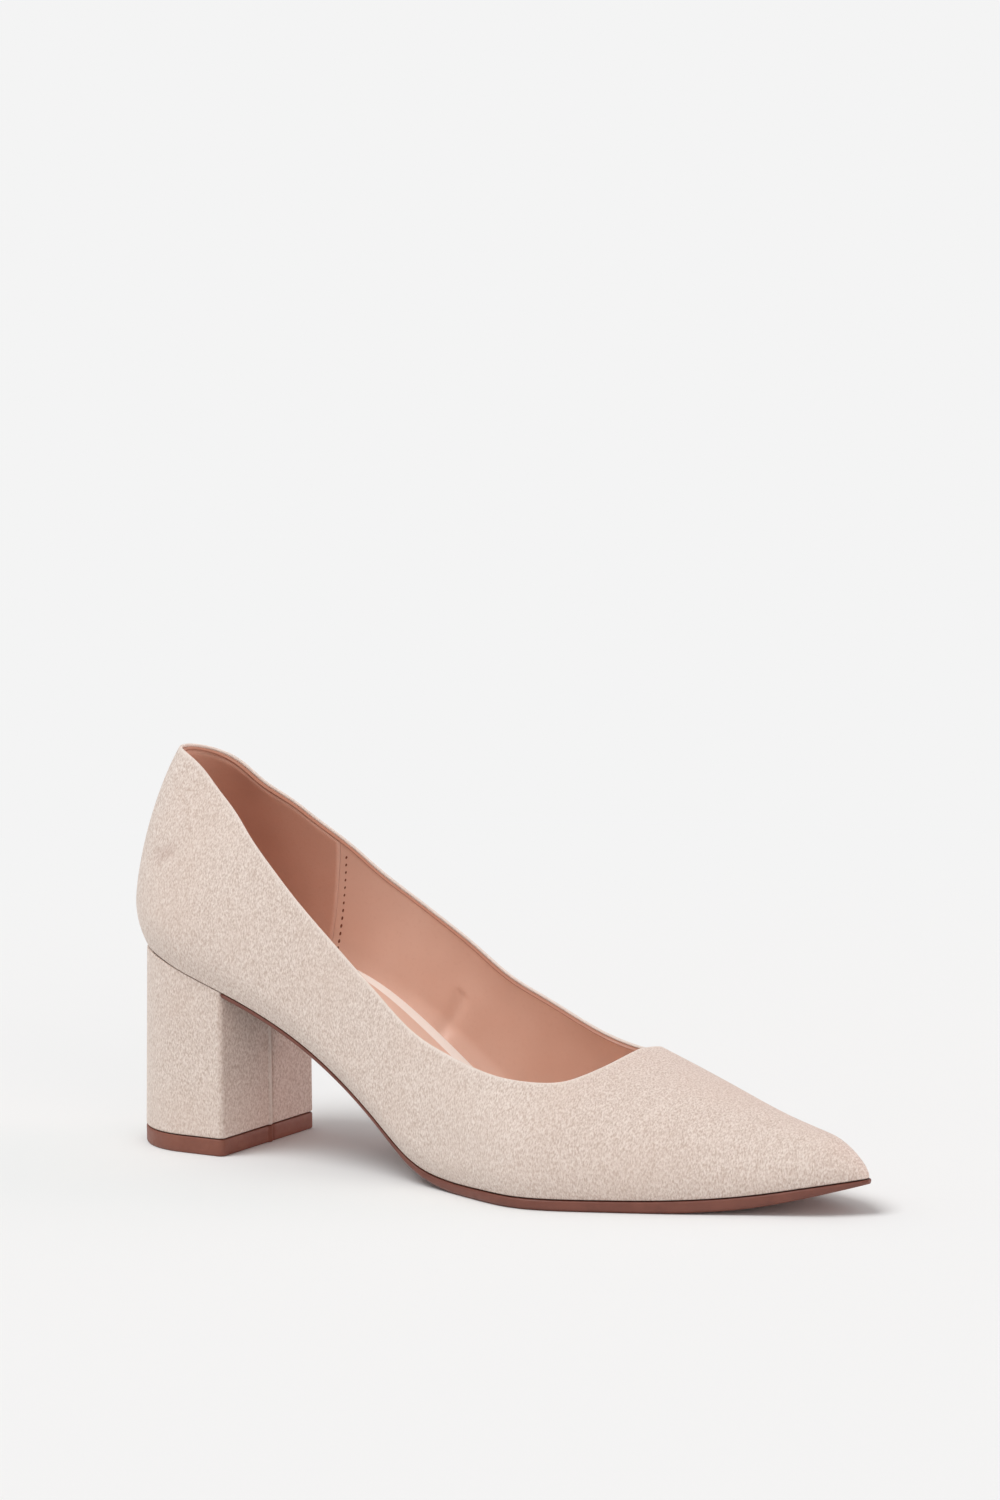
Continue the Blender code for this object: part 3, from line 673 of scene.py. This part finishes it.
def makeHoles(points, directions):
    # stitches sunk in their holes beside the grip's front seam, on both sides; spun thread, matt, its
    # colour darkened as painted shade of the needle holes
    material, tree, shader = newMaterial("stitch_thread_brown", grip["thread"], 0.8)
    place = addNode(tree, "ShaderNodeTexCoord", {}, "Object")
    twist = addNode(tree, "ShaderNodeTexNoise", {"Vector": place, "Scale": 1 / grip["twist"]})
    raised(tree, shader, [(twist, grip["twistDepth"], 1.0)])
    wide, tall, deep = grip["holeShape"]
    rings, spokes = grip["holeMesh"]
    allPoints, faces = [], []
    for end, beforeEnd in ((-1, -2), (0, 1)):
        line, nearby = points[end], points[beforeEnd]
        direction = directions[end]
        run = np.concatenate([[0], np.cumsum(np.linalg.norm(np.diff(line, axis=0), axis=1))])
        for k in range(grip["holes"]):
            at = run[-1] - grip["firstHole"] - k * grip["holeEvery"]
            if at < grip["lastHole"]:
                break
            centre = np.array([np.interp(at, run, line[:, axis]) for axis in range(3)])
            out = np.array([np.interp(at, run, direction[:, axis]) for axis in range(3)])
            beside = np.array([np.interp(at, run, (line - nearby)[:, axis]) for axis in range(3)])
            beside = beside / np.linalg.norm(beside)
            centre = centre + beside * grip["holeInset"] - out * (upper["lining"][1] - grip["holeSink"])
            upward = np.cross(out, beside)
            start = len(allPoints)
            for r in range(rings + 1):
                tilt = math.pi * r / rings
                for s in range(spokes):
                    angle = 2 * math.pi * s / spokes
                    flat = math.sin(tilt) * grip["holeRadius"]
                    spot = centre + beside * flat * math.cos(angle) * wide
                    spot = spot + upward * flat * math.sin(angle) * tall
                    allPoints.append(spot + out * math.cos(tilt) * grip["holeRadius"] * deep)
            for face in ringFaces(spokes, rings + 1):
                faces.append(tuple(start + i for i in face))
    newPiece("gripStitches", allPoints, faces, material)


def planLoop(margin):
    # featherline of both sides moved outward by margin
    sides = {}
    for side in (-1, 1):
        x, y, _ = outline[side]
        slopeX, slopeY = np.gradient(x), np.gradient(y)
        size = np.hypot(slopeX, slopeY)
        wide = margin(x) if callable(margin) else margin
        sides[side] = (x - slopeY / size * wide, y + slopeX / size * wide)
    return sides


featherline = planLoop(0.0)


def edgeAt(sides, side, x):
    lineX, lineY = sides[side]
    order = np.argsort(lineX)
    return side * np.interp(x, lineX[order], lineY[order])


def layerLevel(x, y):
    # height of the last's bottom at any place, straight across from side to side
    outer, inner = bottom(-1, x), bottom(1, x)
    edgeRight, edgeLeft = edgeAt(featherline, -1, x), edgeAt(featherline, 1, x)
    wide = np.maximum(edgeLeft - edgeRight, last["tipWidth"])
    across = np.clip((y - edgeRight) / wide, 0, 1)
    return outer + (inner - outer) * across


def capped(rings):
    # closed skin over rings of equal count, with flat ends
    count = len(rings[0])
    faces = ringFaces(count, len(rings))
    faces.append(tuple(range(count - 1, -1, -1)))
    faces.append(tuple(range((len(rings) - 1) * count, len(rings) * count)))
    return np.array(rings), faces


outsole = {
    "thick": 0.0030,
    "waist": 0.0015,  # its painted edge shows below the cloth
    "toe": 0.0012,
    "skive": 0.0350,  # length over which it thins to the toe
    "margin": 0.0006,  # outside the featherline
    "waistMargin": 0.0002,
    "tipShort": 0.0002,  # its last section stands this far short of the tip
    "bevel": 0.0009,
    "bevelCurve": [(0.06, 0.86), (0.5, 0.42), (0.9, 0.05), (1.25, 0.0)],  # shares of it, in and up
    "edgeRadius": 0.00035,
    "edgeShape": (0.3, 0.4),  # shares of that radius: in and down at its top, up at its foot
    "treadCut": 0.0004,
    "waistAt": 0.35,  # shares of the length
    "forepartAt": 0.60,
    "stations": 190,
    "start": 0.0412,  # just in front of the heel
    "across": 10,
}
soleFinish = {"colour": "#794638", "dark": "#68392D", "roughness": 0.42, "pebble": 0.0016}


def soleRing(x, sides):
    # outsole's section: its top from right to left, the left edge, the tread and the right edge
    edgeRight, edgeLeft = edgeAt(sides, -1, x), edgeAt(sides, 1, x)
    forepart = smoothStep(x / length, outsole["waistAt"], outsole["forepartAt"])
    tip = length + outsole["margin"]
    skive = np.clip((x - tip + outsole["skive"]) / outsole["skive"], 0, 1) ** 2
    thick = outsole["waist"] + (outsole["thick"] - outsole["waist"]) * forepart
    thick += (outsole["toe"] - outsole["thick"]) * skive
    depth = thick + outsole["treadCut"] * forepart * (1 - skive)
    # where the sole is thin or narrow, its bevel and edge are kept within it
    bevel = min(outsole["bevel"], (edgeLeft - edgeRight) / 4)
    lift = min(outsole["bevel"], thick / 2)
    radius = min(outsole["edgeRadius"], thick / 3)
    across = np.linspace(0, 1, outsole["across"])
    rounded, footRounded = outsole["edgeShape"]
    ring = []
    for share in across:
        y = edgeRight + radius + (edgeLeft - edgeRight - 2 * radius) * share
        ring.append((x, y, layerLevel(x, y) - last["gapUnder"]))
    for side, edge in ((1, edgeLeft), (-1, edgeRight)):
        top = layerLevel(x, edge) - last["gapUnder"]
        base = max(0.0, top - depth)
        corner = [(edge - side * radius * rounded, top - radius * rounded), (edge, top - radius)]
        corner += [(edge, (top + base + lift) / 2), (edge, base + lift + radius * footRounded)]
        corner += [(edge - side * bevel * a, base + lift * b) for a, b in outsole["bevelCurve"]]
        if side < 0:
            corner.reverse()
            ring += under(x, edgeRight, edgeLeft, bevel, depth)
        ring += [(x, y, z) for y, z in corner]
    return ring


def under(x, edgeRight, edgeLeft, bevel, depth):
    # the tread, from left to right
    points = []
    inset = outsole["bevelCurve"][-1][0] * bevel
    for share in np.linspace(1, 0, outsole["across"] + 2)[1:-1]:
        y = edgeRight + inset + (edgeLeft - edgeRight - 2 * inset) * share
        across = (y - edgeRight) / (edgeLeft - edgeRight)
        topRight, topLeft = layerLevel(x, edgeRight), layerLevel(x, edgeLeft)
        top = topRight + (topLeft - topRight) * across - last["gapUnder"]
        points.append((x, y, max(0.0, top - depth)))
    return points


def makeOutsole():
    def margin(x):
        share = smoothStep(x / length, outsole["waistAt"], outsole["forepartAt"])
        return outsole["waistMargin"] + (outsole["margin"] - outsole["waistMargin"]) * share

    sides = planLoop(margin)
    tip = length + outsole["margin"] - outsole["tipShort"]
    closing = np.sin(np.linspace(0, math.pi / 2, outsole["stations"]))
    places = outsole["start"] + (tip - outsole["start"]) * closing
    points, faces = capped([soleRing(x, sides) for x in places])
    rubber = moulded("sole_rubber_brown", soleFinish)
    newPiece("outsoleEdge", points, faces, rubber, ["outsole"])


heel = {
    "depth": 0.0385,
    "width": 0.0496,
    "rake": 0.0018,  # lean of its back over its height
    "arc": 0.0235,  # depth of its round back
    "corner": 0.0017,
    "flat": 0.0030,  # width of the flat in the middle of the back
    "topPiece": 0.0050,
    "points": {"corner": 10, "side": 22, "round": 46, "flat": 3},
    "levels": 60,
    "seamAt": 0.0009,  # breast seam, towards the inner side
    "seamLift": 0.0007,
    # across the seam: distance from it, and how far the lapped cloth stands out (in below 0); the same
    # shares paint a highlight on its ridge and shade in its groove
    "seamCurve": [(-0.0014, 0), (-0.0009, 0.3), (-0.0005, 0.8), (-0.0001, 1.0), (0.0003, 0.7),
                  (0.0007, -0.8), (0.0011, -1.0), (0.0015, -0.4), (0.0020, 0)],
    "seamClear": (0.0016, 0.0028),  # breast is flat from this far to its right and left
    "breastPoints": 14,
    "tall": 0.05,  # roughly, for its edges' rounding
    "wrap": (0.0006, 0.0003),  # the cover's roundness at its bottom edge and at its top
}


def heelOutline(rake, inset):
    # D-shaped plan: from the right corner of the breast round the back to its left corner, then across
    # the breast with its seam; and how far each point stands out, for the painted highlight and shade of
    # the seam
    half = heel["width"] / 2 - inset
    back = heelBack + rake + inset
    breast = heelBack + heel["depth"] - inset
    centre = heelBack + heel["arc"]
    corner, points = heel["corner"], heel["points"]
    rightHalf = []
    for turn in np.linspace(0, math.pi / 2, points["corner"]):
        roundX, roundY = corner * (1 - math.cos(turn)), corner * (1 - math.sin(turn))
        rightHalf.append((breast - roundX, -half + roundY))
    for x in np.linspace(breast - corner, centre, points["side"])[1:-1]:
        rightHalf.append((x, -half))
    for turn in np.linspace(0, math.pi / 2, points["round"])[:-1]:
        spot = (centre - (centre - back) * math.sin(turn), -half * math.cos(turn))
        if spot[1] < -heel["flat"] / 2:
            rightHalf.append(spot)
    for y in np.linspace(-heel["flat"] / 2, 0, points["flat"]):
        rightHalf.append((back, y))
    leftHalf = [(x, -y) for x, y in reversed(rightHalf[:-1])]
    seam, flats = heel["seamAt"], heel["breastPoints"]
    clearRight, clearLeft = heel["seamClear"]
    face = [(breast, y) for y in np.linspace(half - corner, seam + clearLeft, flats)[1:]]
    shades = [0.0] * (len(rightHalf) + len(leftHalf) + len(face))
    for offset, share in reversed(heel["seamCurve"]):
        face.append((breast + heel["seamLift"] * share, seam + offset))
        shades.append(share)
    face += [(breast, y) for y in np.linspace(seam - clearRight, -half + corner, flats + 1)[:-1]]
    shades += [0.0] * flats
    return rightHalf + leftHalf + face, shades


def makeHeel():
    base = heel["topPiece"] + last["gapUnder"]
    footWrap, seatWrap = heel["wrap"]
    rings, shades = [], []
    for k in range(heel["levels"]):
        share = 0.5 - 0.5 * math.cos(math.pi * k / (heel["levels"] - 1))
        fromFoot, fromSeat = share * heel["tall"], (1 - share) * heel["tall"]
        draw = roundOff(fromFoot, footWrap) + roundOff(fromSeat, seatWrap)
        plan, tones = heelOutline(heel["rake"] * share, float(draw))
        ring = []
        for x, y in plan:
            top = float(layerLevel(x, y)) - last["gapUnder"]
            ring.append((x, y, base + (top - base) * share))
        rings.append(ring)
        shades.append(tones)
    points, faces = capped(rings)
    cloth = microsuede("heel_microsuede")
    newPiece("heelCover", points, turned(faces), cloth, ["heel"], np.array(shades))


# inset and height of its rings: a small bevel at the foot and a crisp top edge
topPieceRings = [
    (0.0016, 0.0),
    (0.0007, 0.0),
    (0.0003, 0.0001),
    (0.0001, 0.0003),
    (0.0, 0.0006),
    (0.0, 0.0018),
    (0.0, 0.0032),
    (0.0, 0.0046),
    (0.00006, 0.0048),
    (0.0002, 0.00495),
    (0.0006, 0.0050),
]
topPieceFinish = {"colour": "#85503F", "dark": "#764334", "roughness": 0.5, "pebble": 0.0012}


def makeTopPiece():
    rings = []
    for inset, z in topPieceRings:
        rings.append([(x, y, z) for x, y in heelOutline(0.0, inset)[0]])
    points, faces = capped(rings)
    rubber = moulded("top_piece_rubber", topPieceFinish)
    newPiece("topPieceEdge", points, turned(faces), rubber, ["top_piece"])


pad = {"rise": 0.0024, "at": 0.0620, "reach": 0.0240}  # soft pad under the cover at the waist
insole = {"thick": 0.0038, "margin": 0.0023, "toeMargin": 0.0046, "stop": 0.0150, "round": 0.0009}
insoleFinish = {
    "colour": "#FFFAF4",
    "dark": "#F7ECE2",
    "roughness": 0.7,
    "pores": 0.0009,
    "poreDepth": 0.0001,
}
sock = {"thick": 0.0012, "margin": 0.0085, "toeMargin": 0.0108, "stop": 0.0150, "round": 0.0006}
sockFinish = {
    "colour": "#EFCDBB",
    "dark": "#E5BFAB",
    "roughness": 0.5,
    "pores": 0.0012,
    "poreDepth": 0.00006,
}
# of both: sections and how close to the ends they start, points across and round a corner, and the
# share of the length from which they draw in towards the toe
board = {"stations": 170, "endTurn": 0.04, "startGap": 0.0001, "across": 12, "corner": 6, "toeFrom": 0.75}


def padRise(x):
    return pad["rise"] * np.exp(-(((x - pad["at"]) / pad["reach"]) ** 2))


def makeBoard(name, sizes, lift, material, nodes):
    def inset(x):
        into = np.clip((x / length - board["toeFrom"]) / (1 - board["toeFrom"]), 0, 1)
        return -sizes["margin"] - (sizes["toeMargin"] - sizes["margin"]) * into**2

    sides = planLoop(inset)
    start = last["seatTuck"] + sizes["margin"] + board["startGap"]
    end = length - sizes["stop"] - sizes["margin"]
    turns = np.linspace(board["endTurn"], math.pi - board["endTurn"], board["stations"])
    places = start + (end - start) * (0.5 - 0.5 * np.cos(turns))
    rings = []
    for x in places:
        edgeRight, edgeLeft = edgeAt(sides, -1, x), edgeAt(sides, 1, x)
        radius = min(sizes["round"], (edgeLeft - edgeRight) / 3)
        baseRise = padRise(x) if lift else 0.0
        thick = sizes["thick"] + padRise(x)
        ring = []
        for share in np.linspace(0, 1, board["across"]):
            y = edgeRight + (edgeLeft - edgeRight) * share
            ring.append((x, y, layerLevel(x, y) + lift + baseRise))
        for side, edge in ((1, edgeLeft), (-1, edgeRight)):
            corner = []
            for turn in np.linspace(0, math.pi / 2, board["corner"]):
                y = edge - side * radius * (1 - math.cos(turn))
                z = layerLevel(x, edge) + lift + thick - radius * (1 - math.sin(turn))
                corner.append((x, y, z))
            if side < 0:
                corner.reverse()
                for share in np.linspace(1, 0, board["across"] + 2)[1:-1]:
                    y = edgeRight + radius + (edgeLeft - edgeRight - 2 * radius) * share
                    ring.append((x, y, layerLevel(x, y) + lift + thick))
            ring += corner
        rings.append(ring)
    points, faces = capped(rings)
    newPiece(name, points, faces, material, nodes)


def makeBoards():
    cover = smoothLeather("insole_cover_microfibre", insoleFinish)
    makeBoard("insoleCover", insole, 0.0, cover, ["insole"])
    nude = smoothLeather("sock_pu_leather", sockFinish)
    makeBoard("sockCover", sock, insole["thick"] + last["gapUnder"], nude, ["sock"])


makeUpper()
makeGrip()
makeOutsole()
makeHeel()
makeTopPiece()
makeBoards()

light = {
    "sky": 0.50,  # grey of the light all round
    "backdrop": "#F4F4F4",
    # strength, spread in degrees, colour, and the way towards it
    "key": (1.70, 34.0, "#FFFFFF", (-0.30, -0.45, 1.0)),
    "card": (0.70, 50.0, "#FFE6DB", (1.0, -0.75, 0.14)),
    "farCard": (1.00, 40.0, "#FFD0CB", (0.75, 0.65, 0.14)),
    "floor": "#EEF0F0",
    "floorSide": 8.0,
    "floorSteps": 24,
    "floorFade": (0.22, 0.75),  # distances over which the floor turns into the backdrop
}


def makeLamp(name, values):
    strength, spreadAngle, colour, way = values
    lamp = bpy.data.lights.new(name, "SUN")
    lamp.energy = strength
    lamp.angle = math.radians(spreadAngle)
    lamp.color = linear(colour)[:3]
    thing = bpy.data.objects.new(name, lamp)
    thing.rotation_mode = "QUATERNION"
    thing.rotation_quaternion = Vector(way).to_track_quat("Z", "Y")
    bpy.context.scene.collection.objects.link(thing)


def makeStage():
    world = bpy.data.worlds.new("studio")
    bpy.context.scene.world = world
    world.use_nodes = True
    tree = world.node_tree
    cameraRay = addNode(tree, "ShaderNodeLightPath", {}, "Is Camera Ray")
    grey = (light["sky"],) * 3 + (1,)
    tones = {0: cameraRay, 6: grey, 7: linear(light["backdrop"])}
    tone = addNode(tree, "ShaderNodeMix", tones, 2, data_type="RGBA")
    tree.links.new(tone, tree.nodes["Background"].inputs["Color"])
    makeLamp("softBox", light["key"])
    makeLamp("bounceCard", light["card"])
    makeLamp("farCard", light["farCard"])
    data = bpy.data.meshes.new("floor")
    steps = light["floorSteps"]
    line = np.linspace(-1, 1, steps + 1)
    line = np.sign(line) * np.abs(line) ** 2 * light["floorSide"] / 2
    spots = [(x, y, 0.0) for y in line for x in line]
    faces = []
    for j in range(steps):
        for i in range(steps):
            a = j * (steps + 1) + i
            faces.append((a, a + 1, a + steps + 2, a + steps + 1))
    data.from_pydata(spots, [], faces)
    floor = bpy.data.objects.new("floor", data)
    bpy.context.scene.collection.objects.link(floor)
    data.materials.append(floorPaper())


def floorPaper():
    # white paper sweep that brightens into the backdrop with distance
    material, tree, shader = newMaterial("white_paper", light["floor"], 0.9)
    shader.inputs["Specular IOR Level"].default_value = 0.0
    place = addNode(tree, "ShaderNodeTexCoord", {}, "Object")
    far = addNode(tree, "ShaderNodeVectorMath", {0: place}, "Value", operation="LENGTH")
    near, gone = light["floorFade"]
    share = addNode(tree, "ShaderNodeMapRange", {"Value": far, "From Min": near, "From Max": gone},
                    interpolation_type="SMOOTHSTEP")
    glow = addNode(tree, "ShaderNodeEmission", {"Color": linear(light["backdrop"])})
    mixed = addNode(tree, "ShaderNodeMixShader", {0: share, 1: shader.outputs["BSDF"], 2: glow})
    tree.links.new(mixed, tree.nodes["Material Output"].inputs["Surface"])
    return material


# The photo's view, from in front of the right side
cameraAt = {
    "target": (0.1410, 0.0, 0.0450),  # along, across, up
    "azimuth": 29.8,
    "elevation": 10.2,
    "roll": -0.2,
    "distance": 1.300,
    "lens": 109.5,  # mm, for a 36 mm long side
    "photo": (1000, 1500),
    "lands": (561, 1022),  # where the target is in the photo, which sets the shift
}


def makeCamera():
    a, e = math.radians(cameraAt["azimuth"]), math.radians(cameraAt["elevation"])
    back = Vector((math.sin(a) * math.cos(e), -math.cos(a) * math.cos(e), math.sin(e)))
    side = Vector((math.cos(a), math.sin(a), 0))
    turn = Matrix((side, back.cross(side), back)).transposed().to_quaternion()
    turn = turn @ Matrix.Rotation(math.radians(cameraAt["roll"]), 3, "Z").to_quaternion()
    data = bpy.data.cameras.new("camera")
    data.sensor_fit = "AUTO"
    data.sensor_width = 36
    data.lens = cameraAt["lens"]
    wide, tall = cameraAt["photo"]
    landsX, landsY = cameraAt["lands"]
    data.shift_x = (wide / 2 - landsX) / max(wide, tall)
    data.shift_y = (landsY - tall / 2) / max(wide, tall)
    data.clip_end = 20
    camera = bpy.data.objects.new("camera", data)
    camera.location = Vector(cameraAt["target"]) + Vector(move) + back * cameraAt["distance"]
    camera.rotation_mode = "QUATERNION"
    camera.rotation_quaternion = turn
    bpy.context.scene.collection.objects.link(camera)
    bpy.context.scene.camera = camera


makeStage()
makeCamera()
bpy.context.scene.view_settings.view_transform = "Standard"
print("stage and camera made")
